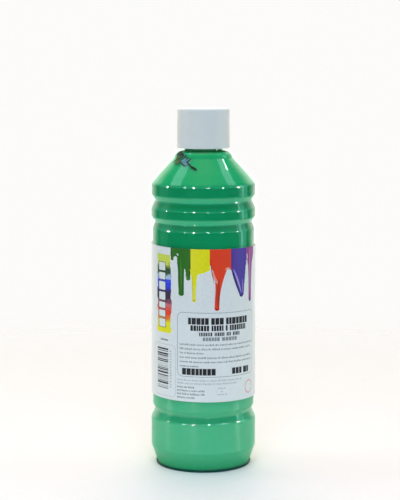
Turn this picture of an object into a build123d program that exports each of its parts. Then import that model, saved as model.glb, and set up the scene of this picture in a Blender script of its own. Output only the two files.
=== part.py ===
from build123d import *
import os

# Screw-cap bottle of ready-mix poster paint, 500 ml.
#
# Millimetres, +Z up, origin on the table at the middle of the base. -Y is the front of the label.
# The bottle is a thin blow-moulded shell. Its outline is a list of corners, each with its rounding,
# and the hollow is the same outline set in by the wall. The cap runs on a real helix round the neck.

# Bottle, outside
BODY_RADIUS = 31.6
BASE_RING_RADIUS = 32.65
LOWER_RING_RADIUS = 32.4
UPPER_RING_RADIUS = 32.25
GROOVE_RADIUS = 30.15
STAND_RADIUS = 28.6
STAND_WIDTH = 3.4
PUSH_UP = 3.6
PUSH_UP_RADIUS = 16.0
PINCH_LENGTH = 24.0
PINCH_WIDTH = 1.0
PINCH_HEIGHT = 0.4

# Heights of the shoulder, neck and mouth
SHOULDER_TOP = 187.75
COLLAR_TOP = 191.8
MOUTH_HEIGHT = 212.9

# Neck, a 28 mm finish with a thread of one and a half turns
NECK_RADIUS = 12.55
NECK_BORE_RADIUS = 10.9
THREAD_PITCH = 4.233
THREAD_TURNS = 1.5
THREAD_CREST_RADIUS = 13.65
THREAD_ROOT_WIDTH = 2.1
THREAD_CREST_WIDTH = 0.9
THREAD_TOP = 210.6
THREAD_SINK = 0.4

# Walls
WALL = 0.85
FILL_GAP = 0.06
FILL_LEVEL = 197.0

# Label, one sheet wrapped round the body with a narrow gap at the back
LABEL_BOTTOM = 43.75
LABEL_TOP = 135.5
LABEL_THICKNESS = 0.1
LABEL_CLEARANCE = 0.02
LABEL_SEAM = 1.6

# Pouring plug, pressed into the mouth
FLANGE_RADIUS = 12.3
FLANGE_THICKNESS = 1.0
PLUG_DEPTH = 8.5
PLUG_WALL = 1.0
PLUG_RIB = 0.25
PLUG_RIB_HEIGHT = 1.2
PLUG_RIB_DEPTHS = (2.2, 5.6)
PLUG_FLOOR = 1.0
PLUG_RECESS = 2.5
ORIFICE_RADIUS = 3.75
SPOUT_WALL = 0.9
SPOUT_DIP = 0.3

# Cap and its liner
CAP_BOTTOM = 193.35
CAP_TOP = 217.0
CAP_BOTTOM_RADIUS = 15.95
CAP_TOP_RADIUS = 15.72
CAP_EDGE_RADIUS = 1.1
CAP_LIP_RADIUS = 0.3
CAP_INNER_RADIUS = 14.1
CAP_CEILING = 215.4
CAP_THREAD_RADIUS = 12.95
CAP_THREAD_ROOT_WIDTH = 1.9
CAP_THREAD_CREST_WIDTH = 0.8
CAP_THREAD_TURNS = 1.25
FLANK_GAP = 0.2
LINER_RADIUS = 13.85
LINER_THICKNESS = 1.5
LINER_BEAD = 0.45
LINER_BEAD_HEIGHT = 0.8

# Corners of the outside from the middle of the base to the neck: radius, height, rounding
OUTSIDE = (
    (0, PUSH_UP, 0),
    (PUSH_UP_RADIUS, PUSH_UP, 8),
    (STAND_RADIUS - STAND_WIDTH, 0, 0.8),
    (STAND_RADIUS, 0, 0.6),
    (BASE_RING_RADIUS, 11.8, 3.0),
    (BASE_RING_RADIUS, 30.2, 2.5),
    (GROOVE_RADIUS, 34.15, 0.7),
    (BODY_RADIUS, 37.0, 1.6),
    (BODY_RADIUS, 145.2, 2.0),
    (GROOVE_RADIUS, 149.3, 0.5),
    (LOWER_RING_RADIUS, 152.2, 1.1),
    (LOWER_RING_RADIUS, 157.4, 1.6),
    (GROOVE_RADIUS, 162.2, 0.5),
    (UPPER_RING_RADIUS, 165.4, 1.4),
    (UPPER_RING_RADIUS, 172.1, 2.2),
    (26.9, 178.6, 45.0),
    (18.4, SHOULDER_TOP, 0.3),
    (17.5, COLLAR_TOP - 1.8, 1.0),
    (15.6, COLLAR_TOP, 1.0),
    (NECK_RADIUS, COLLAR_TOP + 0.3, 0.6),
)
THROAT_HEIGHT = 191.4
THROAT_ROUNDING = 2.0


def turned(corners):
    """A solid of revolution from (radius, height, rounding) corners, closed along the axis."""
    points = [Vector(radius, 0, height) for radius, height, _ in corners]
    roundings = [rounding for _, _, rounding in corners]
    outline = FilletPolyline(points, radius=roundings, close=True)
    return revolve(Face(Wire(outline.edges())), Axis.Z)


def inset(corners, distance):
    """The same corners moved in by a wall, seen with the inside on the left of the way they run."""
    moved = []
    for before, corner, after in zip(corners, corners[1:], corners[2:]):
        way_in = Vector(corner[0] - before[0], corner[1] - before[1]).normalized()
        way_out = Vector(after[0] - corner[0], after[1] - corner[1]).normalized()
        left_in = Vector(-way_in.Y, way_in.X)
        left_out = Vector(-way_out.Y, way_out.X)
        shift = (left_in + left_out) * (distance / (1 + left_in.dot(left_out)))
        turns_left = way_in.cross(way_out).Z > 0
        rounding = corner[2] - distance if turns_left else corner[2] + distance
        moved.append((corner[0] + shift.X, corner[1] + shift.Y, max(rounding, 0)))
    return moved


def inside(distance, top):
    """The hollow of the bottle, set in by a distance and cut off level at the top."""
    extra = distance - WALL
    lower = inset(OUTSIDE, distance)
    throat = [(NECK_BORE_RADIUS - extra, THROAT_HEIGHT - extra, THROAT_ROUNDING)]
    ends = [(NECK_BORE_RADIUS - extra, top, 0), (0, top, 0)]
    return turned([(0, PUSH_UP + distance, 0)] + lower + throat + ends)


def trapezoid(root, crest, root_width, crest_width, height):
    """The section of a thread ridge, lying in the XZ plane."""
    corners = (
        (root, 0, height - root_width / 2),
        (crest, 0, height - crest_width / 2),
        (crest, 0, height + crest_width / 2),
        (root, 0, height + root_width / 2),
    )
    return Face(Wire(Polyline(*corners, close=True).edges()))


def ridge(section, start, turns):
    """A section swept up a right-hand helix from a start height."""
    path = Helix(THREAD_PITCH, THREAD_PITCH * turns, NECK_RADIUS, center=(0, 0, start))
    return sweep(section, path=path, is_frenet=True)


def neck_thread():
    """The ridge round the neck, fading into the neck at both ends."""
    start = THREAD_TOP - THREAD_PITCH * THREAD_TURNS
    root = NECK_RADIUS - THREAD_SINK
    section = trapezoid(root, THREAD_CREST_RADIUS, THREAD_ROOT_WIDTH, THREAD_CREST_WIDTH, start)
    thread = ridge(section, start, THREAD_TURNS)
    for height, angle in ((start, 0), (THREAD_TOP, 360 * THREAD_TURNS)):
        reach = THREAD_CREST_RADIUS
        cutter = Pos(NECK_RADIUS + reach / 2, 0, height) * Box(reach, reach, THREAD_PITCH * 0.7)
        thread -= Rot(0, 0, angle) * cutter
    return thread


def pinch_line():
    """The ridge across the pushed-up base, where the mould pinched the plastic shut."""
    depth = PINCH_HEIGHT + WALL / 2
    return Pos(0, 0, PUSH_UP - PINCH_HEIGHT + depth / 2) * Box(PINCH_LENGTH, PINCH_WIDTH, depth)


def bottle():
    """The blow-moulded shell with its grooves, shoulder, neck, thread and pinch line."""
    mouth = [(NECK_RADIUS, MOUTH_HEIGHT, 0.3), (0, MOUTH_HEIGHT, 0)]
    outside = turned(list(OUTSIDE) + mouth) + neck_thread() + pinch_line()
    return outside - inside(WALL, MOUTH_HEIGHT)


def paint():
    """What fills the bottle, up into the neck."""
    return inside(WALL + FILL_GAP, FILL_LEVEL)


def label():
    """The printed sleeve, a sheet wrapped round the body."""
    inner = BODY_RADIUS + LABEL_CLEARANCE
    outer = inner + LABEL_THICKNESS
    height = LABEL_TOP - LABEL_BOTTOM
    upright = (Align.CENTER, Align.CENTER, Align.MIN)
    sleeve = Cylinder(outer, height, align=upright) - Cylinder(inner, height, align=upright)
    seam = Pos(0, outer, height / 2) * Box(LABEL_SEAM, outer, height)
    return Pos(0, 0, LABEL_BOTTOM) * (sleeve - seam)


def pour_plug():
    """The soft plug that narrows the mouth: flange, ribbed barrel, sunk floor and a short spout."""
    barrel = NECK_BORE_RADIUS - PLUG_RIB
    well = barrel - PLUG_WALL
    spout = ORIFICE_RADIUS + SPOUT_WALL
    top = MOUTH_HEIGHT + FLANGE_THICKNESS
    floor = top - PLUG_RECESS
    plug = turned(
        (
            (ORIFICE_RADIUS, floor - PLUG_FLOOR, 0.3),
            (well, floor - PLUG_FLOOR, 0.5),
            (well, MOUTH_HEIGHT - PLUG_DEPTH, 0.2),
            (barrel, MOUTH_HEIGHT - PLUG_DEPTH, 0.4),
            (barrel, MOUTH_HEIGHT, 0),
            (FLANGE_RADIUS, MOUTH_HEIGHT, 0.2),
            (FLANGE_RADIUS, top, 0.3),
            (well, top, 0.3),
            (well, floor, 0.5),
            (spout, floor, 0.4),
            (spout, top - SPOUT_DIP, 0.3),
            (ORIFICE_RADIUS, top - SPOUT_DIP, 0.3),
        )
    )
    for depth in PLUG_RIB_DEPTHS:
        plug += plug_rib(barrel, MOUTH_HEIGHT - depth)
    return plug


def plug_rib(barrel, height):
    """One sealing rib, which touches the bore all the way round."""
    half = PLUG_RIB_HEIGHT / 2
    rounded = PLUG_RIB / 2
    return turned(
        (
            (barrel - PLUG_WALL / 2, height - half, 0),
            (barrel, height - half, 0),
            (NECK_BORE_RADIUS, height - rounded, 0),
            (NECK_BORE_RADIUS, height + rounded, 0),
            (barrel, height + half, 0),
            (barrel - PLUG_WALL / 2, height + half, 0),
        )
    )


def cap_thread():
    """The ridge inside the cap, which hangs under the ridge of the neck."""
    middle = (THREAD_CREST_RADIUS + CAP_THREAD_RADIUS) / 2
    neck_slope = (THREAD_ROOT_WIDTH - THREAD_CREST_WIDTH) / (THREAD_CREST_RADIUS - NECK_RADIUS + THREAD_SINK)
    cap_slope = (CAP_THREAD_ROOT_WIDTH - CAP_THREAD_CREST_WIDTH) / (CAP_INNER_RADIUS - CAP_THREAD_RADIUS)
    neck_width = THREAD_CREST_WIDTH + neck_slope * (THREAD_CREST_RADIUS - middle)
    cap_width = CAP_THREAD_CREST_WIDTH + cap_slope * (middle - CAP_THREAD_RADIUS)
    drop = (neck_width + cap_width) / 2 + FLANK_GAP
    start = THREAD_TOP - THREAD_PITCH * THREAD_TURNS - drop
    root_width = CAP_THREAD_ROOT_WIDTH + cap_slope * THREAD_SINK
    root = CAP_INNER_RADIUS + THREAD_SINK
    section = trapezoid(root, CAP_THREAD_RADIUS, root_width, CAP_THREAD_CREST_WIDTH, start)
    return ridge(section, start, CAP_THREAD_TURNS)


def cap():
    """The screw cap: a plain cup with a thread and a bead that holds its liner."""
    shape = turned(
        (
            (0, CAP_CEILING, 0),
            (CAP_INNER_RADIUS, CAP_CEILING, 0.2),
            (CAP_INNER_RADIUS, CAP_BOTTOM, CAP_LIP_RADIUS),
            (CAP_BOTTOM_RADIUS, CAP_BOTTOM, CAP_LIP_RADIUS),
            (CAP_TOP_RADIUS, CAP_TOP, CAP_EDGE_RADIUS),
            (0, CAP_TOP, 0),
        )
    )
    bead_top = CAP_CEILING - LINER_THICKNESS - FILL_GAP
    bead = turned(
        (
            (CAP_INNER_RADIUS + THREAD_SINK, bead_top, 0),
            (CAP_INNER_RADIUS, bead_top, 0),
            (CAP_INNER_RADIUS - LINER_BEAD, bead_top - LINER_BEAD_HEIGHT / 2, 0.1),
            (CAP_INNER_RADIUS, bead_top - LINER_BEAD_HEIGHT, 0),
            (CAP_INNER_RADIUS + THREAD_SINK, bead_top - LINER_BEAD_HEIGHT, 0),
        )
    )
    return shape + bead + cap_thread()


def cap_liner():
    """The foam disc that seals the cap on the plug."""
    upright = (Align.CENTER, Align.CENTER, Align.MIN)
    return Pos(0, 0, CAP_CEILING - LINER_THICKNESS) * Cylinder(LINER_RADIUS, LINER_THICKNESS, align=upright)


os.makedirs("parts", exist_ok=True)
for make in (bottle, paint, label, pour_plug, cap, cap_liner):
    shape = make()
    export_step(shape, f"parts/{make.__name__}.step")
    print(f"{make.__name__}: {shape.volume / 1000:.2f} ml of material")
print(f"capacity to the brim: {inside(WALL, MOUTH_HEIGHT).volume / 1000:.0f} ml")
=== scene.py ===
"""Looks of a screw-cap bottle of green poster paint: clear shell, paint, printed label, cap and studio."""
import math
import random

import bpy
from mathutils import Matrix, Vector
from mathutils.bvhtree import BVHTree
from mathutils.geometry import delaunay_2d_cdt


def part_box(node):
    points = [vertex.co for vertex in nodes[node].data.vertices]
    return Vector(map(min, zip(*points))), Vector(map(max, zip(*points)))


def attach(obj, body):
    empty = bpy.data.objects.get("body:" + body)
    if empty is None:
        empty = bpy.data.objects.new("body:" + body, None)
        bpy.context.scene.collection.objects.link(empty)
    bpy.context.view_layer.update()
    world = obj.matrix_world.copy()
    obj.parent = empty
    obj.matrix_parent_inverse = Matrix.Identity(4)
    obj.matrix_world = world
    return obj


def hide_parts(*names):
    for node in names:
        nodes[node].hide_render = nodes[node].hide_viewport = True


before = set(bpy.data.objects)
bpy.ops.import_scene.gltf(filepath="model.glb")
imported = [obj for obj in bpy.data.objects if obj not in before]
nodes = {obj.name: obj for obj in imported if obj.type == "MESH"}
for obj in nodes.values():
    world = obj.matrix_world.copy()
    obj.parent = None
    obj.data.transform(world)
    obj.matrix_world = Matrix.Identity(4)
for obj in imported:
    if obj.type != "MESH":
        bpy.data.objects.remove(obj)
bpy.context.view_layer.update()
MM = 0.001


# ---------------------------------------------------------------- node helpers


def add(tree, kind, values=None, **settings):
    """A new node with its settings, and default values for its inputs by name or number."""
    node = tree.nodes.new(kind)
    for name, value in settings.items():
        setattr(node, name, value)
    for name, value in (values or {}).items():
        node.inputs[name].default_value = value
    return node


def maths(tree, operation, first, second=0.0, clamp=False):
    """The output of a maths node whose inputs are sockets or numbers."""
    node = add(tree, "ShaderNodeMath", operation=operation, use_clamp=clamp)
    for place, value in enumerate((first, second)):
        if isinstance(value, (int, float)):
            node.inputs[place].default_value = value
        else:
            tree.links.new(value, node.inputs[place])
    return node.outputs[0]


def place_on_object(tree):
    """The point being shaded, in the object's own frame, in metres."""
    return add(tree, "ShaderNodeTexCoord").outputs["Object"]


def object_parts(tree):
    """The X, Y and Z of the point being shaded, in the object's own frame."""
    parts = add(tree, "ShaderNodeSeparateXYZ")
    tree.links.new(place_on_object(tree), parts.inputs[0])
    return parts.outputs


def noise(tree, size, detail=2.0, stretch=(1, 1, 1)):
    """Noise from 0 to 1 whose blobs are about size metres across, stretched along the axes."""
    scale = add(tree, "ShaderNodeMapping", {"Scale": [1 / (size * s) for s in stretch]})
    tree.links.new(place_on_object(tree), scale.inputs["Vector"])
    made = add(tree, "ShaderNodeTexNoise", {"Scale": 1.0, "Detail": detail, "Roughness": 0.55})
    tree.links.new(scale.outputs[0], made.inputs["Vector"])
    return made.outputs["Fac"]


def bump(tree, height, depth, below=None):
    """A normal from a height of 0 to 1 that stands for depth metres."""
    node = add(tree, "ShaderNodeBump", {"Strength": 1.0, "Distance": depth})
    tree.links.new(height, node.inputs["Height"])
    if below is not None:
        tree.links.new(below, node.inputs["Normal"])
    return node.outputs[0]


def ramp(tree, factor, stops):
    """A colour from stops of (place, colour)."""
    node = add(tree, "ShaderNodeValToRGB")
    node.color_ramp.elements.remove(node.color_ramp.elements[0])
    for number, (place, colour) in enumerate(stops):
        stop = node.color_ramp.elements[0] if number == 0 else node.color_ramp.elements.new(place)
        stop.position = place
        stop.color = (*colour, 1)
    tree.links.new(factor, node.inputs["Fac"])
    return node.outputs["Color"]


def smooth_step(tree, value, low, high):
    """0 below low and 1 above high, with a smooth change between."""
    ends = {"From Min": low, "From Max": high}
    node = add(tree, "ShaderNodeMapRange", ends, interpolation_type="SMOOTHSTEP")
    tree.links.new(value, node.inputs["Value"])
    return node.outputs["Result"]


def coloured(tree, factor, first, second):
    """A colour between two others, each a socket or plain numbers."""
    node = add(tree, "ShaderNodeMix", data_type="RGBA")
    for name, value in (("A", first), ("B", second)):
        if isinstance(value, tuple):
            node.inputs[name].default_value = (*value, 1)
        else:
            tree.links.new(value, node.inputs[name])
    tree.links.new(factor, node.inputs["Factor"])
    return node.outputs["Result"]


def mix_shaders(tree, factor, first, second):
    """A blend of two shaders."""
    node = add(tree, "ShaderNodeMixShader")
    if isinstance(factor, float):
        node.inputs[0].default_value = factor
    else:
        tree.links.new(factor, node.inputs[0])
    tree.links.new(first, node.inputs[1])
    tree.links.new(second, node.inputs[2])
    return node.outputs[0]


def plain(name, colour, roughness, specular=0.5):
    """A new Principled material: (material, its tree, its shader)."""
    made = bpy.data.materials.new(name)
    made.use_nodes = True
    shader = made.node_tree.nodes["Principled BSDF"]
    shader.inputs["Base Color"].default_value = (*colour, 1)
    shader.inputs["Roughness"].default_value = roughness
    shader.inputs["Specular IOR Level"].default_value = specular
    return made, made.node_tree, shader


def shade(colour, factor):
    """A colour made lighter or darker."""
    return tuple(min(part * factor, 1.0) for part in colour)


def wear(obj, material):
    """obj shows this material alone."""
    obj.data.materials.clear()
    obj.data.materials.append(material)


# ---------------------------------------------------------------- the bottle, its paint and its closure

PLASTIC_IOR = 1.52
PLASTIC_TINT = (0.93, 0.985, 0.955)
SHARP_GLOSS = 0.05
SOFT_GLOSS = 0.14
SOFT_SHARE = 0.35
MILKINESS = 0.03
DEEP_GREEN = (0.0065, 0.4, 0.165)
# Painted shade and painted light in the paint: darker just above the grooves, paler on the grooves, the base
# and the shoulder
SHADED_GREEN = (0.004, 0.31, 0.11)
GROOVE_LIT_GREEN = (0.02, 0.7, 0.36)
BASE_LIT_GREEN = (0.022, 0.57, 0.28)
SHOULDER_LIT_GREEN = (0.024, 0.54, 0.2)
FILL_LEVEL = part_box("paint")[1].z
SEAM_WIDTH = 0.25 * MM
# The paint's colour by height in millimetres, with painted light in the base, grooves and shoulder and
# painted shade above the grooves
GREENS_WITH_PAINTED_LIGHT = (
    (2.0, DEEP_GREEN),
    (13.0, BASE_LIT_GREEN),
    (29.2, BASE_LIT_GREEN),
    (30.4, DEEP_GREEN),
    (33.4, DEEP_GREEN),
    (34.4, BASE_LIT_GREEN),
    (43.5, BASE_LIT_GREEN),
    (45.0, DEEP_GREEN),
    (145.5, DEEP_GREEN),
    (147.2, SHADED_GREEN),
    (148.6, SHADED_GREEN),
    (149.3, GROOVE_LIT_GREEN),
    (151.6, GROOVE_LIT_GREEN),
    (152.6, DEEP_GREEN),
    (157.5, DEEP_GREEN),
    (159.4, SHADED_GREEN),
    (161.4, SHADED_GREEN),
    (162.2, GROOVE_LIT_GREEN),
    (164.8, GROOVE_LIT_GREEN),
    (165.8, DEEP_GREEN),
    (171.5, DEEP_GREEN),
    (174.0, SHOULDER_LIT_GREEN),
)
MILKY_HEIGHTS = (44 * MM, 38 * MM)
# The dark band at the foot is painted shadow, where the bottle meets the floor
FOOT_SHADOW_HEIGHTS = (0.3 * MM, 2.0 * MM)
FOOT_SHADOW_GREEN = (0.002, 0.09, 0.07)
# The mirroring fades out low down: painted shade for the bottle's own shadow on the floor that the foot
# mirrors
SHINE_SHADE_HEIGHTS = (-2 * MM, 12 * MM)


def seam_line(tree):
    """1 on the mould's parting line, which runs up both sides where y is 0, falling to 0 beside it."""
    away = maths(tree, "DIVIDE", maths(tree, "ABSOLUTE", object_parts(tree)["Y"]), SEAM_WIDTH)
    return maths(tree, "SUBTRACT", 1.0, away, clamp=True)


def clear_plastic():
    """The shell: what is behind it shows through, and its outside mirrors by Fresnel's law.

    Its thick base is a little cloudy. Its mirroring fades out towards the foot as painted shade, and its
    foot ends in a dark line of painted shadow.
    """
    made, tree, shader = plain("clear_plastic", PLASTIC_TINT, SHARP_GLOSS)
    tree.nodes.remove(shader)
    waves = bump(tree, noise(tree, 16 * MM, 2.0, (1, 1, 2.0)), 0.16 * MM)
    normal = bump(tree, seam_line(tree), 0.06 * MM, waves)

    through = add(tree, "ShaderNodeBsdfTransparent", {"Color": (*PLASTIC_TINT, 1)})
    milk = add(tree, "ShaderNodeBsdfDiffuse", {"Color": (0.9, 0.93, 0.9, 1)})
    # A dark green for the painted shadow at the foot
    dark = add(tree, "ShaderNodeBsdfDiffuse", {"Color": (*FOOT_SHADOW_GREEN, 1)})
    sharp = add(tree, "ShaderNodeBsdfGlossy", {"Color": (1, 1, 1, 1), "Roughness": SHARP_GLOSS})
    soft = add(tree, "ShaderNodeBsdfGlossy", {"Color": (1, 1, 1, 1), "Roughness": SOFT_GLOSS})
    tree.links.new(normal, sharp.inputs["Normal"])
    tree.links.new(normal, soft.inputs["Normal"])

    outside = maths(tree, "SUBTRACT", 1.0, add(tree, "ShaderNodeNewGeometry").outputs["Backfacing"])
    height = object_parts(tree)["Z"]
    fresnel = add(tree, "ShaderNodeFresnel", {"IOR": PLASTIC_IOR})
    tree.links.new(normal, fresnel.inputs["Normal"])
    shine = maths(tree, "MULTIPLY", fresnel.outputs[0], outside)
    # Painted shade: the mirroring fades out towards the foot
    shine = maths(tree, "MULTIPLY", shine, smooth_step(tree, height, *SHINE_SHADE_HEIGHTS))

    milky = maths(tree, "MULTIPLY", smooth_step(tree, height, *MILKY_HEIGHTS), MILKINESS)
    milky = maths(tree, "MULTIPLY", milky, outside)
    # Painted shadow: the shell turns dark green in its lowest millimetres
    rim = smooth_step(tree, height, *FOOT_SHADOW_HEIGHTS[::-1])

    body = mix_shaders(tree, milky, through.outputs[0], milk.outputs[0])
    body = mix_shaders(tree, rim, body, dark.outputs[0])
    mirror = mix_shaders(tree, SOFT_SHARE, sharp.outputs[0], soft.outputs[0])
    tree.links.new(mix_shaders(tree, shine, body, mirror), tree.nodes["Material Output"].inputs["Surface"])
    return made


def poster_paint():
    """Thick green paint that wets the wall, a little uneven in tone, with painted light and shade by height.
    """
    made, tree, shader = plain("green_poster_paint", DEEP_GREEN, 0.6, 0.0)
    level = maths(tree, "DIVIDE", object_parts(tree)["Z"], FILL_LEVEL)
    # These stops put painted light and shade into the paint's colour; the base's painted light fades out
    # towards the foot
    stops = [(height * MM / FILL_LEVEL, colour) for height, colour in GREENS_WITH_PAINTED_LIGHT]
    clouds = ramp(tree, noise(tree, 26 * MM, 3.0, (1, 1, 1.6)), ((0.3, (0.95,) * 3), (0.7, (1.0,) * 3)))
    cloudy = add(tree, "ShaderNodeMix", {"Factor": 1.0}, data_type="RGBA", blend_type="MULTIPLY")
    tree.links.new(ramp(tree, level, stops), cloudy.inputs["A"])
    tree.links.new(clouds, cloudy.inputs["B"])
    tree.links.new(cloudy.outputs["Result"], shader.inputs["Base Color"])
    return made


def white_plastic():
    """The cap: moulded polypropylene with a fine matt skin and faint draw marks."""
    colour = (0.86, 0.84, 0.82)
    made, tree, shader = plain("white_cap_plastic", colour, 0.6, 0.25)
    patches = noise(tree, 9 * MM, 2.0)
    tint = ramp(tree, patches, ((0.3, shade(colour, 0.985)), (0.7, shade(colour, 1.01))))
    tree.links.new(tint, shader.inputs["Base Color"])
    shader.inputs["Subsurface Weight"].default_value = 0.12
    shader.inputs["Subsurface Radius"].default_value = (1.0, 0.9, 0.8)
    shader.inputs["Subsurface Scale"].default_value = 1.2 * MM
    skin = bump(tree, noise(tree, 0.35 * MM, 2.0), 0.006 * MM)
    draw = bump(tree, noise(tree, 1.6 * MM, 1.0, (1, 1, 30)), 0.01 * MM, skin)
    tree.links.new(draw, shader.inputs["Normal"])
    return made


def milky_plastic():
    """The pouring plug: soft polythene, a little waxy."""
    made, tree, shader = plain("milky_polythene", (0.8, 0.83, 0.82), 0.42)
    shader.inputs["Subsurface Weight"].default_value = 0.35
    shader.inputs["Subsurface Radius"].default_value = (1.0, 1.0, 0.95)
    shader.inputs["Subsurface Scale"].default_value = 1.5 * MM
    tree.links.new(bump(tree, noise(tree, 0.8 * MM, 2.0), 0.01 * MM), shader.inputs["Normal"])
    return made


def liner_foam():
    """The cap's liner: white foam with fine closed cells."""
    made, tree, shader = plain("liner_foam", (0.82, 0.82, 0.79), 0.7, 0.3)
    cells = add(tree, "ShaderNodeTexVoronoi", {"Scale": 1 / (0.35 * MM)})
    tree.links.new(place_on_object(tree), cells.inputs["Vector"])
    tree.links.new(bump(tree, cells.outputs["Distance"], 0.03 * MM), shader.inputs["Normal"])
    return made


wear(nodes["bottle"], clear_plastic())
wear(nodes["paint"], poster_paint())
wear(nodes["cap"], white_plastic())
wear(nodes["pour_plug"], milky_plastic())
wear(nodes["cap_liner"], liner_foam())

# ---------------------------------------------------------------- the label's artwork

# All places are millimetres on the flat label: across from the middle of its front, down from its top.
INKS = {
    "label_film": (0.86, 0.86, 0.86),
    "ink_black": (0.018, 0.018, 0.022),
    "ink_grey": (0.3, 0.3, 0.32),
    "ink_pale_grey": (0.55, 0.55, 0.57),
    "ink_pink_line": (0.8, 0.42, 0.4),
    "ink_dark_green": (0.022, 0.17, 0.004),
    "ink_deep_green": (0.008, 0.07, 0.012),
    "ink_leaf_green": (0.1, 0.34, 0.03),
    "ink_yellow": (0.93, 0.84, 0.002),
    "ink_ochre": (0.62, 0.5, 0.01),
    "ink_red": (0.93, 0.055, 0.012),
    "ink_brick": (0.6, 0.05, 0.02),
    "ink_dark_red": (0.45, 0.012, 0.006),
    "ink_salmon": (0.93, 0.36, 0.28),
    "ink_violet": (0.08, 0.032, 0.36),
    "ink_deep_violet": (0.03, 0.012, 0.14),
    "ink_lavender": (0.4, 0.33, 0.72),
    "ink_purple": (0.37, 0.06, 0.3),
    "ink_mauve": (0.46, 0.22, 0.42),
    "ink_orange": (0.93, 0.26, 0.01),
    "ink_sky_blue": (0.3, 0.55, 0.8),
    "ink_pale_blue": (0.5, 0.66, 0.85),
    "ink_lime": (0.7, 0.76, 0.08),
    "ink_blue": (0.01, 0.04, 0.8),
    "ink_plum": (0.03, 0.006, 0.055),
    "ink_rose": (0.72, 0.17, 0.22),
    "ink_teal": (0.01, 0.26, 0.3),
    "ink_bands": (0.3, 0.2, 0.2),
}
INK_NUMBER = {name: number for number, name in enumerate(INKS)}

# The strip's bands: depth below the label's top edge, and colour
STRIP_BANDS = (
    (4.5, "ink_lime"),
    (9.5, "ink_lime"),
    (12.3, "ink_deep_green"),
    (16.0, "ink_deep_green"),
    (18.0, "ink_pale_blue"),
    (20.5, "ink_blue"),
    (24.0, "ink_blue"),
    (26.5, "ink_plum"),
    (31.5, "ink_plum"),
    (34.5, "ink_rose"),
    (38.5, "ink_red"),
    (41.0, "ink_red"),
    (43.0, "ink_orange"),
    (45.5, "ink_yellow"),
    (51.5, "ink_yellow"),
)

shell_low, shell_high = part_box("label")
LABEL_RADIUS = shell_high.x / MM
LABEL_HEIGHT = 91.7
LABEL_TOP = 135.5
LABEL_SKEW = 0.0135
LABEL_THICKNESS = 0.1
LABEL_SEAM = 1.2
STRIP_MIDDLE = -27
HALF_WIDTH = math.pi * LABEL_RADIUS - LABEL_SEAM / 2
COLUMN_ANGLE = 3.0
BACK_RUNS_START = 51.0

art = []


def ink(name, points):
    """Lays a filled outline on the label. Later ink covers earlier ink."""
    art.append((INK_NUMBER[name], [Vector(point) for point in points]))


def block(name, left, right, top, bottom):
    """A plain bar of ink."""
    ink(name, ((left, top), (left, bottom), (right, bottom), (right, top)))


def rounded(left, right, top, bottom, radius):
    """The outline of a box with round corners."""
    points = []
    corners = (
        (right - radius, top + radius, -90),
        (right - radius, bottom - radius, 0),
        (left + radius, bottom - radius, 90),
        (left + radius, top + radius, 180),
    )
    for across, down, start in corners:
        for step in range(5):
            angle = math.radians(start + step * 22.5)
            points.append((across + radius * math.cos(angle), down + radius * math.sin(angle)))
    return points


def outlined_box(name, left, right, top, bottom, radius, line):
    """A round-cornered box drawn as a thin line."""
    ink(name, rounded(left, right, top, bottom, radius))
    inner = (left + line, right - line, top + line, bottom - line, radius - line)
    ink("label_film", rounded(*inner))


def disc(name, across, down, radius, steps=28):
    """A filled circle."""
    turns = [2 * math.pi * step / steps for step in range(steps)]
    ink(name, [(across + radius * math.cos(a), down + radius * math.sin(a)) for a in turns])


def stroke(name, path, width):
    """A brush mark along a path, tapering to its ends."""
    left, right = [], []
    last = len(path) - 1
    for number, (across, down) in enumerate(path):
        before = Vector(path[max(number - 1, 0)])
        after = Vector(path[min(number + 1, last)])
        side = (after - before).normalized().orthogonal()
        reach = width / 2 * math.sin(math.pi * (0.08 + 0.84 * number / last))
        left.append(Vector((across, down)) + side * reach)
        right.append(Vector((across, down)) - side * reach)
    ink(name, left + right[::-1])


def curve(start, bend, end, steps=8):
    """Points along a smooth curve from start to end, pulled towards bend."""
    first, middle, last = Vector(start), Vector(bend), Vector(end)
    points = []
    for step in range(steps + 1):
        t = step / steps
        points.append(first * (1 - t) ** 2 + middle * 2 * t * (1 - t) + last * t * t)
    return points


def curtain(name, left, right, left_depth, right_depth, sag=0.0):
    """Paint along the top edge, down to a lower edge that sags in its middle."""
    middle = ((left + right) / 2, (left_depth + right_depth) / 2 + 2 * sag)
    ink(name, [(right, 0), (left, 0)] + curve((left, left_depth), middle, (right, right_depth)))


def drip(name, root, start, root_width, tip, end, tip_width, taper=3.0):
    """A run of paint that narrows from its root and ends in a round bead."""
    left, right = [], []
    steps = 14
    bead = tip_width * 0.58
    for step in range(steps + 1):
        t = step / steps
        middle = root + (tip - root) * t * t * (3 - 2 * t)
        half = (tip_width + (root_width - tip_width) * (1 - t) ** taper) / 2
        down = start + (end - bead - start) * t
        left.append((middle - half, down))
        right.append((middle + half, down))
    bottom = []
    for step in range(1, 10):
        angle = math.pi * (1 - step / 10)
        bottom.append((tip + bead * math.cos(angle), end - bead + bead * math.sin(angle)))
    ink(name, left + bottom + right[::-1])


def words(name, left, right, down, height, seed):
    """A line of small print as rows of little blocks, grouped like words, that spell nothing."""
    dice = random.Random(seed)
    across = left
    while across < right - 1.5:
        for _ in range(dice.randint(2, 7)):
            if across > right - 0.6:
                break
            width = dice.uniform(0.35, 0.75)
            rise = dice.choice((0.0, 0.0, 0.0, 0.3))
            block(name, across, across + width, down - rise, down + height)
            across += width + 0.26
        across += 0.45


def heavy_blocks(name, middle, width, top, bottom, groups, seed):
    """A heading as rows of plain blocks, in groups like words."""
    dice = random.Random(seed)
    gap = 0.32
    space = 1.5
    sizes = [[dice.uniform(0.75, 1.25) for _ in range(count)] for count in groups]
    total = sum(sum(group) for group in sizes)
    gaps = gap * sum(count - 1 for count in groups) + space * (len(groups) - 1)
    unit = (width - gaps) / total
    across = middle - width / 2
    for group in sizes:
        for size in group:
            block(name, across, across + size * unit, top, bottom)
            across += size * unit + gap
        across += space - gap


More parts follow.
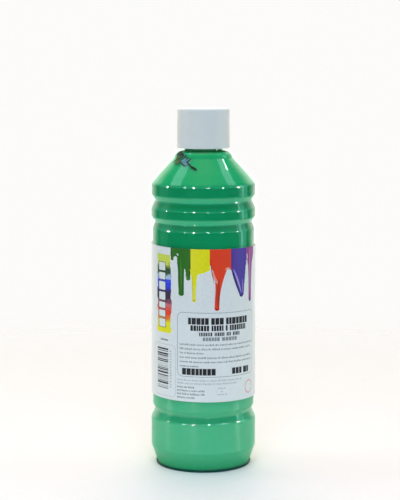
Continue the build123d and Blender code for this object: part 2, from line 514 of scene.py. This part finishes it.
def paint_runs():
    """The coloured paint that runs down from the label's top edge."""
    ink("ink_dark_green", [(-16.2, 0), (-21, 0), (-21, 4.6), (-18.2, 5.2), (-17.2, 4.6), (-16.2, 5.6)])
    curtain("ink_dark_green", -16.3, -7.6, 9.5, 13.8)
    drip("ink_dark_green", -19.5, 3.5, 3.0, -19.8, 7.5, 1.9, 1.5)
    drip("ink_dark_green", -13.7, 8.0, 5.2, -13.6, 28.3, 3.4, 3.0)
    drip("ink_dark_green", -9.6, 9.0, 4.6, -9.2, 18.7, 2.4, 2.0)
    stroke("ink_deep_green", curve((-20.5, 1.0), (-20.8, 4.0), (-20.0, 7.0)), 0.9)
    stroke("ink_deep_green", curve((-15.2, 9.0), (-15.4, 18.0), (-15.0, 27.0)), 0.8)
    stroke("ink_deep_green", curve((-12.3, 12.0), (-12.1, 22.0), (-12.5, 27.4)), 0.7)
    stroke("ink_deep_green", curve((-8.1, 6.0), (-7.9, 13.0), (-8.5, 18.2)), 0.8)
    stroke("ink_leaf_green", curve((-13.9, 6.0), (-13.5, 14.0), (-13.7, 24.0)), 0.5)
    stroke("label_film", curve((-16.6, 3.2), (-16.0, 3.4), (-15.4, 4.4)), 0.8)
    stroke("ink_leaf_green", curve((-10.8, 15.0), (-10.2, 17.6), (-9.0, 18.0)), 0.6)

    curtain("ink_yellow", -7.7, 3.9, 15.8, 12.4, 0.6)
    drip("ink_yellow", -5.5, 12.0, 5.4, -5.6, 31.6, 2.0, 2.6)
    stroke("ink_ochre", curve((-6.4, 16.0), (-6.5, 24.0), (-6.3, 30.6)), 0.4)
    stroke("ink_ochre", curve((-6.4, 29.4), (-5.7, 32.0), (-4.8, 29.6)), 0.8)

    curtain("ink_red", 3.7, 17.3, 9.6, 12.6, -0.3)
    drip("ink_red", 10.0, 8.8, 12.6, 8.1, 36.6, 2.9, 3.2)
    stroke("ink_salmon", curve((5.8, 13.0), (6.8, 17.5), (8.4, 20.4)), 1.9)
    stroke("ink_red", curve((6.0, 12.4), (7.4, 16.5), (8.9, 19.0)), 0.8)
    stroke("ink_brick", curve((9.6, 18.0), (8.4, 25.0), (8.3, 34.5)), 1.9)
    stroke("ink_dark_red", curve((9.5, 22.0), (9.4, 30.0), (9.2, 35.6)), 0.6)
    stroke("ink_dark_red", curve((4.3, 5.0), (4.4, 12.0), (6.4, 20.5)), 0.6)
    stroke("ink_dark_red", curve((6.9, 34.6), (8.1, 37.4), (9.3, 34.6)), 0.9)
    stroke("ink_salmon", curve((13.2, 12.6), (14.9, 10.4), (16.9, 12.4)), 1.4)

    violet = [(17.2, 0), (17.2, 12.0), (18.0, 14.4), (19.5, 18.0), (21.0, 21.8), (22.4, 25.0), (23.4, 27.2)]
    violet += [(24.4, 28.6), (25.6, 29.0), (26.8, 28.4), (27.3, 26.8), (27.6, 23.0), (27.9, 17.0)]
    violet += [(28.3, 13.0), (28.9, 11.0), (29.6, 10.0), (29.6, 0)]
    ink("ink_violet", violet)
    stroke("ink_deep_violet", curve((17.3, 11.8), (20.0, 18.5), (23.6, 27.6)), 1.4)
    stroke("ink_deep_violet", curve((23.2, 26.6), (25.0, 30.6), (27.2, 26.8)), 1.2)
    stroke("ink_lavender", curve((18.9, 12.2), (22.0, 18.0), (25.0, 26.6)), 1.3)
    stroke("ink_lavender", curve((26.0, 18.5), (26.4, 23.0), (26.3, 27.0)), 0.5)
    stroke("ink_deep_violet", curve((17.4, 1.0), (17.8, 6.0), (17.5, 12.0)), 0.6)
    stroke("ink_deep_violet", curve((29.0, 9.6), (28.4, 14.0), (27.8, 21.0)), 0.5)

    purple = [(29.4, 0), (29.4, 7.2), (30.6, 7.6), (31.6, 11.0), (32.1, 17.0), (32.3, 25.0), (32.3, 31.0)]
    purple += [(33.0, 32.6), (34.4, 32.9), (35.4, 31.4), (35.3, 24.0), (35.8, 16.0), (36.8, 9.0)]
    purple += [(38.9, 4.6), (38.9, 0)]
    ink("ink_purple", purple)
    stroke("ink_mauve", curve((33.4, 1.0), (33.8, 10.0), (33.6, 27.0)), 1.4)
    stroke("ink_deep_violet", curve((32.4, 30.4), (33.8, 34.0), (35.4, 30.6)), 1.0)
    stroke("label_film", curve((30.2, 3.4), (30.8, 5.0), (30.6, 7.6)), 0.8)


def runs_at_the_back():
    """More paint runs round the side and back, whose sizes vary by a seeded draw."""
    dice = random.Random(7)
    colours = ("ink_orange", "ink_yellow", "ink_teal", "ink_sky_blue", "ink_rose")
    left = BACK_RUNS_START
    for name in colours:
        right = left + dice.uniform(8.2, 9.8)
        depth = dice.uniform(7.0, 12.0)
        curtain(name, left, right + 0.2, depth, depth * dice.uniform(0.8, 1.2), 0.5)
        root = left + (right - left) * dice.uniform(0.35, 0.65)
        end = dice.uniform(21.0, 33.0)
        drip(name, root, depth - 2.5, 6.5, root + dice.uniform(-0.8, 0.8), end, dice.uniform(1.6, 2.6))
        left = right


def colour_strip():
    """A strip of brushed colours with ragged sides, and plain white blocks up it in place of a name."""
    dice = random.Random(11)
    left, right = -33.0, -20.8
    top, bottom = STRIP_BANDS[0][0], STRIP_BANDS[-1][0]
    steps = 22
    edges = []
    for side in (left, right):
        downs = [top + (bottom - top) * step / steps for step in range(steps + 1)]
        edges.append([(side + dice.uniform(-0.7, 0.7), down) for down in downs])
    ink("ink_bands", edges[0] + edges[1][::-1])
    down = 9.4
    while down < 46.0:
        height = dice.uniform(3.6, 5.0)
        ink("ink_black", rounded(-31.7, -24.9, down - 0.3, down + height + 0.3, 0.8))
        ink("label_film", rounded(-31.3, -25.3, down, down + height, 0.6))
        down += height + 1.3


def bar_stack():
    """A boxed stack of made-up bars, which stands for a stock code."""
    outlined_box("ink_pale_grey", -37.5, -17.3, 58.4, 90.0, 3.0, 0.25)
    dice = random.Random(5)
    down = 61.0
    while down < 85.4:
        height = dice.choice((0.25, 0.25, 0.45, 0.7, 1.0))
        block("ink_black" if height > 0.4 else "ink_grey", -33.2, -23.0, down, down + height)
        down += height + dice.choice((0.35, 0.55, 0.9))
    small = 62.0
    while small < 85.0:
        block("ink_pale_grey", -21.8, -20.5, small, small + dice.uniform(0.7, 1.1))
        small += dice.uniform(1.5, 1.9)


def front_panel():
    """The boxed panel of headings and small print on the front, all as plain bars."""
    outlined_box("ink_grey", -16.3, 37.4, 37.8, 76.6, 3.4, 0.28)
    middle = 10.5
    heavy_blocks("ink_black", middle, 39.5, 40.9, 44.9, (5, 3, 7), 1)
    heavy_blocks("ink_black", middle, 36.6, 45.4, 48.7, (7, 5, 1, 8), 2)
    heavy_blocks("ink_black", middle, 26.2, 49.6, 51.8, (8, 6, 3, 5), 3)
    heavy_blocks("ink_grey", middle, 21.8, 52.5, 54.7, (6, 5), 4)
    for number, (down, end) in enumerate(
        ((56.8, 36), (59.4, 36), (61.9, 0.6), (64.6, 36), (67.2, 36), (69.8, -2.0))
    ):
        words("ink_grey", -14.6, end, down, 0.8, 20 + number)
    heavy_blocks("ink_black", -2.9, 20.4, 71.4, 75.4, (8,), 6)
    heavy_blocks("ink_black", 25.0, 14.0, 71.4, 75.2, (3, 2), 9)


def small_print():
    """Lines under the panel, a short centred stack and a plain ring."""
    for number, (down, end) in enumerate(((78.3, 26.5), (80.3, 22.0))):
        words("ink_pale_grey", -16.3, end, down, 0.8, 40 + number)
    for number, (down, end) in enumerate(((82.6, -3.5), (84.7, 1.6), (86.8, 0.6), (88.9, -3.6))):
        words("ink_grey", -16.5, end, down, 0.85, 50 + number)
    for number, (down, reach) in enumerate(((83.0, 2.8), (84.9, 1.0), (86.8, 3.6))):
        words("ink_pale_grey", 11.6 - reach, 11.6 + reach, down, 0.7, 60 + number)
    disc("ink_pink_line", 32.7, 84.5, 4.2)
    disc("label_film", 32.7, 84.5, 3.5)
    block("ink_grey", -29.8, -23.2, 55.4, 56.4)


def back_panel():
    """What faces away: a chart of plain colour dots and a boxed block of small print."""
    dots = ("ink_yellow", "ink_orange", "ink_red", "ink_rose", "ink_purple", "ink_violet")
    dots += ("ink_blue", "ink_sky_blue", "ink_teal", "ink_leaf_green", "ink_dark_green", "ink_ochre")
    for number, name in enumerate(dots):
        row, column = divmod(number, 4)
        disc(name, -84 + column * 9.5, 14 + row * 10.5, 3.2)
        words("ink_grey", -86.4 + column * 9.5, -81.6 + column * 9.5, 18.2 + row * 10.5, 0.7, 80 + number)
    heavy_blocks("ink_black", -70, 30, 46, 49, (6, 4, 5), 8)
    for line in range(13):
        words("ink_grey", -90, -50 - 14 * (line % 5 == 4), 52 + line * 2.6, 0.9, 100 + line)
    outlined_box("ink_grey", 44, 93, 37.8, 76.6, 3.4, 0.28)
    heavy_blocks("ink_black", 68.5, 34, 40.9, 44.4, (5, 6, 4), 12)
    for line in range(11):
        words("ink_grey", 46, 91 - 20 * (line % 4 == 3), 47 + line * 2.6, 0.95, 130 + line)


def label_corner(across, down, radius):
    """A point of the flat label, wrapped round the bottle at a radius in millimetres."""
    angle = across / LABEL_RADIUS
    height = LABEL_TOP - down - LABEL_SKEW * across
    return Vector((radius * math.sin(angle), -radius * math.cos(angle), height)) * MM


def sheet_with_ink():
    """The flat label cut into triangles: (points, triangles, each triangle's ink)."""
    points = []
    edges = []
    faces = []
    column = math.radians(COLUMN_ANGLE) * LABEL_RADIUS
    count = int(HALF_WIDTH / column)
    for number in range(-count, count + 1):
        edges.append((len(points), len(points) + 1))
        points += [Vector((number * column, 0)), Vector((number * column, LABEL_HEIGHT))]
    for _, outline in art:
        twice_area = sum(a.x * b.y - b.x * a.y for a, b in zip(outline, outline[1:] + outline[:1]))
        faces.append(list(range(len(points), len(points) + len(outline))))
        points += outline if twice_area > 0 else outline[::-1]
    cut = delaunay_2d_cdt(points, edges, faces, 1, 1e-4, True)
    flat, triangles, sources = cut[0], cut[2], cut[5]
    return flat, triangles, [art[max(source)][0] for source in sources]


def brushed_bands(tree):
    """The strip's colours down its height, with their borders dragged about by a brush."""
    parts = object_parts(tree)
    drag = maths(tree, "SUBTRACT", noise(tree, 2.4 * MM, 3.0, (2.5, 2.5, 0.5)), 0.5)
    height = maths(tree, "ADD", parts["Z"], maths(tree, "MULTIPLY", drag, 7 * MM))
    top, bottom = STRIP_BANDS[0][0], STRIP_BANDS[-1][0]
    depth = maths(tree, "SUBTRACT", (LABEL_TOP - LABEL_SKEW * STRIP_MIDDLE - top) * MM, height)
    place = maths(tree, "DIVIDE", depth, (bottom - top) * MM, clamp=True)
    return ramp(tree, place, [((down - top) / (bottom - top), INKS[name]) for down, name in STRIP_BANDS])


def printed_film(name, colour):
    """One ink, or the bare film, with the faint mottle of print and a satin varnish."""
    made, tree, shader = plain(name, colour, 0.4, 0.14)
    if name == "ink_bands":
        tint = brushed_bands(tree)
    else:
        mottle = noise(tree, 1.2 * MM, 3.0)
        tint = ramp(tree, mottle, ((0.25, shade(colour, 0.95)), (0.75, shade(colour, 1.04))))
    tree.links.new(tint, shader.inputs["Base Color"])
    ripple = bump(tree, noise(tree, 14 * MM, 2.0, (1, 1, 1.8)), 0.12 * MM)
    tree.links.new(ripple, shader.inputs["Normal"])
    return made


def printed_label():
    """The label as a closed sheet: printed outside, plain inside, with its cut edges."""
    flat, triangles, inks = sheet_with_ink()
    inner_radius = LABEL_RADIUS - LABEL_THICKNESS
    outer = [label_corner(p.x, p.y, LABEL_RADIUS) for p in flat]
    inner = [label_corner(p.x, p.y, inner_radius) for p in flat]
    count = len(flat)
    faces = [tuple(face[::-1]) for face in triangles]
    sides = {(a, b) for face in faces for a, b in zip(face, face[1:] + face[:1])}
    faces += [tuple(count + corner for corner in face) for face in triangles]
    faces += [(b, a, count + a, count + b) for a, b in sorted(sides) if (b, a) not in sides]

    mesh = bpy.data.meshes.new("printed_label")
    mesh.from_pydata(outer + inner, [], faces)
    for name, colour in INKS.items():
        mesh.materials.append(printed_film(name, colour))
    mesh.polygons.foreach_set("material_index", inks + [0] * (len(faces) - len(inks)))
    mesh.polygons.foreach_set("use_smooth", [True] * len(faces))
    outward = [Vector((p.x, p.y, 0)).normalized() for p in outer]
    mesh.update()
    mesh.normals_split_custom_set_from_vertices(outward + [-way for way in outward])
    obj = bpy.data.objects.new("printed_label", mesh)
    bpy.context.scene.collection.objects.link(obj)
    return obj


block("label_film", -HALF_WIDTH, HALF_WIDTH, 0, LABEL_HEIGHT)
paint_runs()
runs_at_the_back()
colour_strip()
bar_stack()
front_panel()
small_print()
back_panel()
label = printed_label()
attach(label, "bottle")
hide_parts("label")

# ---------------------------------------------------------------- dried smears on the shoulder

OUTSIDE_SHELL = 60 * MM
SMEAR_THICKNESS = 0.12
FIRST_SMEAR_SEED = 30

shell_tree = BVHTree.FromPolygons(
    [v.co for v in nodes["bottle"].data.vertices], [tuple(p.vertices) for p in nodes["bottle"].data.polygons]
)


def on_shell(angle, height):
    """The shell's outside and its normal at an angle from the front and a height, in degrees and mm."""
    around = math.radians(angle)
    way = Vector((-math.sin(around), math.cos(around), 0))
    found, normal, _, _ = shell_tree.ray_cast(Vector((0, 0, height * MM)) - way * OUTSIDE_SHELL, way)
    return found, normal


def dab(name, angle, height, length, width, turn, thickness, seed):
    """A low dab of dried paint that follows the shell: a closed, domed blob with a ragged rim."""
    dice = random.Random(seed)
    steps = 30
    centre, _ = on_shell(angle, height)
    radius = Vector((centre.x, centre.y)).length / MM
    ragged = [1 + dice.uniform(-0.45, 0.3) for _ in range(steps)]
    ragged = [(ragged[i - 1] + ragged[i] * 3 + ragged[(i + 1) % steps]) / 5 for i in range(steps)]
    rings = ((1.0, -0.3), (0.86, 0.55), (0.6, 0.9), (0.3, 1.0))
    points = []
    for size, lift in rings:
        for step in range(steps):
            around = 2 * math.pi * step / steps
            along = length / 2 * size * ragged[step] * math.cos(around)
            aside = width / 2 * size * ragged[step] * math.sin(around)
            across = along * math.cos(turn) - aside * math.sin(turn)
            up = along * math.sin(turn) + aside * math.cos(turn)
            spot, normal = on_shell(angle + math.degrees(across / radius), height + up)
            points.append(spot + normal * thickness * lift * MM)
    top, top_normal = on_shell(angle, height)
    points.append(top + top_normal * thickness * MM)
    points.append(top - top_normal * thickness * 0.3 * MM)
    faces = []
    for ring in range(len(rings) - 1):
        for step in range(steps):
            after = (step + 1) % steps
            a, b = ring * steps + step, ring * steps + after
            faces.append((a, b, b + steps, a + steps))
    last = (len(rings) - 1) * steps
    for step in range(steps):
        after = (step + 1) % steps
        faces.append((last + step, last + after, len(points) - 2))
        faces.append((after, step, len(points) - 1))
    mesh = bpy.data.meshes.new(name)
    mesh.from_pydata(points, [], faces)
    mesh.polygons.foreach_set("use_smooth", [True] * len(faces))
    mesh.update()
    obj = bpy.data.objects.new(name, mesh)
    bpy.context.scene.collection.objects.link(obj)
    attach(obj, "bottle")
    return obj


def dried_paint(name, colour, roughness):
    """Dried paint: crusty and uneven in tone."""
    made, tree, shader = plain(name, colour, roughness, 0.25)
    crust = noise(tree, 0.7 * MM, 4.0)
    tint = ramp(tree, crust, ((0.35, shade(colour, 0.5)), (0.7, shade(colour, 1.7))))
    tree.links.new(tint, shader.inputs["Base Color"])
    tree.links.new(bump(tree, crust, 0.12 * MM), shader.inputs["Normal"])
    return made


def shoulder_smears():
    """The dark scrapes of old paint at the left of the shoulder."""
    dark = dried_paint("dried_dark_paint", (0.003, 0.016, 0.007), 0.5)
    olive = dried_paint("dried_olive_paint", (0.05, 0.13, 0.012), 0.5)
    blue = dried_paint("dried_blue_film", (0.14, 0.3, 0.42), 0.3)
    # Paint, angle from the front, height, length, width and turn in radians
    marks = (
        (olive, -56.0, 187.6, 4.4, 4.0, 0.7),
        (olive, -47.0, 185.6, 4.6, 2.6, 0.5),
        (blue, -35.0, 186.4, 4.6, 2.8, -0.35),
        (blue, -29.0, 184.8, 3.0, 1.6, -0.4),
        (dark, -59.0, 190.4, 4.6, 2.6, 0.15),
        (dark, -50.0, 189.6, 3.8, 2.4, 0.5),
        (dark, -43.5, 188.8, 3.0, 1.5, 1.2),
        (dark, -53.0, 187.4, 3.0, 0.9, 0.9),
        (dark, -50.0, 184.9, 2.6, 0.7, 0.5),
        (dark, -59.0, 185.8, 2.2, 0.8, 1.0),
        (dark, -37.5, 188.6, 3.2, 1.2, 1.25),
        (dark, -31.5, 187.7, 2.8, 1.0, 0.9),
        (dark, -26.5, 186.6, 4.0, 1.1, 0.75),
        (dark, -34.0, 184.2, 4.6, 0.8, -0.45),
        (dark, -25.0, 184.8, 4.4, 1.0, -0.35),
        (dark, -14.5, 182.7, 6.0, 1.5, -0.35),
    )
    for number, (material, angle, height, length, width, turn) in enumerate(marks):
        name = f"shoulder_smear_{number + 1}"
        piece = dab(name, angle, height, length, width, turn, SMEAR_THICKNESS, FIRST_SMEAR_SEED + number)
        wear(piece, material)


shoulder_smears()

# ---------------------------------------------------------------- studio

CAMERA_DISTANCE = 0.9638
CAMERA_HEIGHT = 0.2546
CAMERA_ASIDE = -0.00205
CAMERA_PITCH = 7.3
CAMERA_LENS = 115.2

FLOOR_FADE = 0.22
FLOOR_EDGE = 0.6
BACKDROP_STARTS = (0.4, 0.8)
BACKDROP_SEEN = (0.975, 0.968, 0.95)
BACKDROP_GLOW = (3.1, 2.4, 2.0)
MIRRORED_GLOW = (1.9, 1.95, 1.85)
FRONT_OF_STUDIO = (
    (0.0, (0.04, 0.045, 0.045)),
    (0.49, (0.04, 0.045, 0.045)),
    (0.57, (0.24, 0.5, 0.52)),
    (0.735, (0.3, 0.59, 0.6)),
    (0.81, (0.07, 0.2, 0.25)),
    (0.91, (0.16, 0.3, 0.34)),
    (0.97, (0.36, 0.42, 0.4)),
    (0.998, (0.75, 0.65, 0.54)),
)
LAMP_AIM = 0.12
SPARKLE_DISTANCE = 1.5
WHITE_LIGHT = (1.0, 1.0, 1.0)
WARM_LIGHT = (1.0, 0.8, 0.6)
COOL_LIGHT = (0.8, 0.75, 1.0)
SKY_LIGHT = (0.6, 0.9, 1.0)
SEA_LIGHT = (0.4, 1.0, 0.9)
# Azimuth, elevation, width, height, strength and colour of the lamps that sparkle
SPARKLES = (
    (-83, 10.5, 0.12, 0.38, 180, WHITE_LIGHT),
    (-40, 14, 0.2, 0.45, 24, SKY_LIGHT),
    (-21, 15, 0.11, 0.45, 180, WHITE_LIGHT),
    (10, 15, 0.2, 0.45, 24, SKY_LIGHT),
    (42, 14, 0.18, 0.4, 40, SKY_LIGHT),
    (80, 10.5, 0.12, 0.38, 180, WHITE_LIGHT),
)


def camera():
    """The camera in front of the label, a little above the cap and looking slightly down."""
    data = bpy.data.cameras.new("camera")
    data.lens = CAMERA_LENS
    data.clip_start = 0.01
    obj = bpy.data.objects.new("camera", data)
    obj.location = (CAMERA_ASIDE, -CAMERA_DISTANCE, CAMERA_HEIGHT)
    obj.rotation_euler = (math.radians(90 - CAMERA_PITCH), 0, 0)
    bpy.context.scene.collection.objects.link(obj)
    bpy.context.scene.camera = obj


def floor():
    """A pale sheet that fades into the white surroundings with distance."""
    steps = 96
    rings = (0.1, FLOOR_FADE, FLOOR_EDGE)
    points = [(0, 0, 0)]
    for radius in rings:
        turns = [2 * math.pi * step / steps for step in range(steps)]
        points += [(radius * math.cos(turn), radius * math.sin(turn), 0) for turn in turns]
    faces = []
    for step in range(steps):
        after = (step + 1) % steps
        faces.append((0, 1 + step, 1 + after))
        for ring in range(len(rings) - 1):
            a, b = 1 + ring * steps + step, 1 + ring * steps + after
            faces.append((a, a + steps, b + steps, b))
    mesh = bpy.data.meshes.new("floor")
    mesh.from_pydata(points, [], faces)
    obj = bpy.data.objects.new("floor", mesh)
    bpy.context.scene.collection.objects.link(obj)

    made, tree, shader = plain("floor_sheet", (0.88, 0.85, 0.84), 0.6, 0.2)
    distance = add(tree, "ShaderNodeVectorMath", operation="LENGTH")
    tree.links.new(place_on_object(tree), distance.inputs[0])
    fade = smooth_step(tree, distance.outputs["Value"], FLOOR_FADE, FLOOR_EDGE)
    clear = add(tree, "ShaderNodeBsdfTransparent")
    blend = mix_shaders(tree, fade, shader.outputs[0], clear.outputs[0])
    tree.links.new(blend, tree.nodes["Material Output"].inputs["Surface"])
    wear(obj, made)


def surroundings():
    """A white studio: bright behind, bright overhead, dim and bluish in front, dark below that."""
    world = bpy.data.worlds.new("studio")
    world.use_nodes = True
    tree = world.node_tree
    parts = add(tree, "ShaderNodeSeparateXYZ")
    tree.links.new(add(tree, "ShaderNodeTexCoord").outputs["Generated"], parts.inputs[0])
    level = maths(tree, "ADD", maths(tree, "MULTIPLY", parts.outputs["Z"], 0.5), 0.5)
    in_front = ramp(tree, level, FRONT_OF_STUDIO)
    ray = add(tree, "ShaderNodeLightPath").outputs
    glow = coloured(tree, ray["Is Glossy Ray"], BACKDROP_GLOW, MIRRORED_GLOW)
    lit = coloured(tree, smooth_step(tree, parts.outputs["Y"], *BACKDROP_STARTS), in_front, glow)
    seen = coloured(tree, ray["Is Camera Ray"], lit, BACKDROP_SEEN)
    tree.links.new(seen, tree.nodes["Background"].inputs["Color"])
    bpy.context.scene.world = world


def lamp(name, azimuth, elevation, distance, width, height, strength, colour, mirrored=True, lighting=True):
    """An oval lamp that faces the bottle. Azimuth 0 is over the camera and 90 is to the right."""
    data = bpy.data.lights.new(name, "AREA")
    data.shape = "ELLIPSE"
    data.size = width
    data.size_y = height
    data.energy = strength * math.pi * math.pi * width / 2 * height / 2
    data.color = colour
    obj = bpy.data.objects.new(name, data)
    around, up = math.radians(azimuth), math.radians(elevation)
    way = Vector((math.sin(around) * math.cos(up), -math.cos(around) * math.cos(up), math.sin(up)))
    obj.location = Vector((0, 0, LAMP_AIM)) + way * distance
    obj.rotation_euler = way.to_track_quat("Z", "Y").to_euler()
    obj.visible_glossy = mirrored
    obj.visible_diffuse = lighting
    obj.visible_camera = False
    bpy.context.scene.collection.objects.link(obj)


def lamps():
    """Fills that only light, boxes that light and mirror, and lamps that only show as reflections."""
    lamp("overhead", 0, 76, 1.2, 0.5, 0.5, 2.6, WHITE_LIGHT, mirrored=False)
    lamp("front_fill", 0, 50, 1.4, 0.8, 0.8, 4.5, COOL_LIGHT, mirrored=False)
    lamp("left_fill", -105, 35, 1.3, 0.7, 0.7, 1.8, WARM_LIGHT, mirrored=False)
    lamp("right_fill", 105, 35, 1.3, 0.7, 0.7, 1.0, WARM_LIGHT, mirrored=False)
    lamp("left_box", -100, 57, 1.5, 0.5, 0.5, 2.4, SKY_LIGHT)
    lamp("right_box", 100, 57, 1.5, 0.4, 0.4, 2.4, SKY_LIGHT)
    lamp("right_strip", 93, 8, 1.0, 0.1, 1.0, 2.8, SEA_LIGHT, lighting=False)
    lamp("right_wall", 96, 8, 1.2, 0.6, 1.2, 1.3, SEA_LIGHT, lighting=False)
    lamp("left_wall", -96, 8, 1.2, 0.6, 1.2, 0.4, SEA_LIGHT, lighting=False)
    for number, (azimuth, elevation, width, height, strength, colour) in enumerate(SPARKLES):
        name = f"sparkle_{number + 1}"
        lamp(name, azimuth, elevation, SPARKLE_DISTANCE, width, height, strength, colour, lighting=False)
    lamp("shoulder_glint", 108.8, 58.1, 0.307, 0.02, 0.005, 55, WHITE_LIGHT, lighting=False)


camera()
floor()
surroundings()
lamps()
bpy.context.scene.view_settings.view_transform = "Standard"
